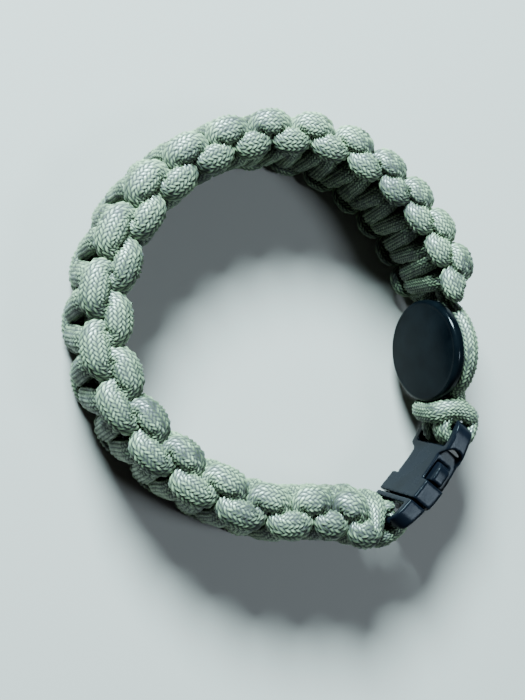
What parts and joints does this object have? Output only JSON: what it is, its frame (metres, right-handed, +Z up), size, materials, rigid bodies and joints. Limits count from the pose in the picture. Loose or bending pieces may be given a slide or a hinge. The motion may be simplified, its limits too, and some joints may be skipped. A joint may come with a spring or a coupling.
{
  "type": "paracord bracelet",
  "caption": "Woven cord bracelet of flat knots over two core runs, closed by a side release buckle, with a round domed charm held between the cords.",
  "frame": {"origin": "on the floor, under the middle of the bracelet's box", "axes": "+Z up along the wrist's axis, +X from the wrist's middle towards the charm, -Y towards the buckle"},
  "size_m": [0.0814, 0.0838, 0.0225],
  "materials": {
    "cord": "satin",
    "buckle": "satin",
    "charm": "satin"
  },
  "bodies": {
    "root": {"outer_strand": "cord", "inner_strand": "cord", "core_cord": "cord", "buckle_socket": "buckle", "buckle_plug": "buckle", "charm": "charm"}
  },
  "joints": []
}
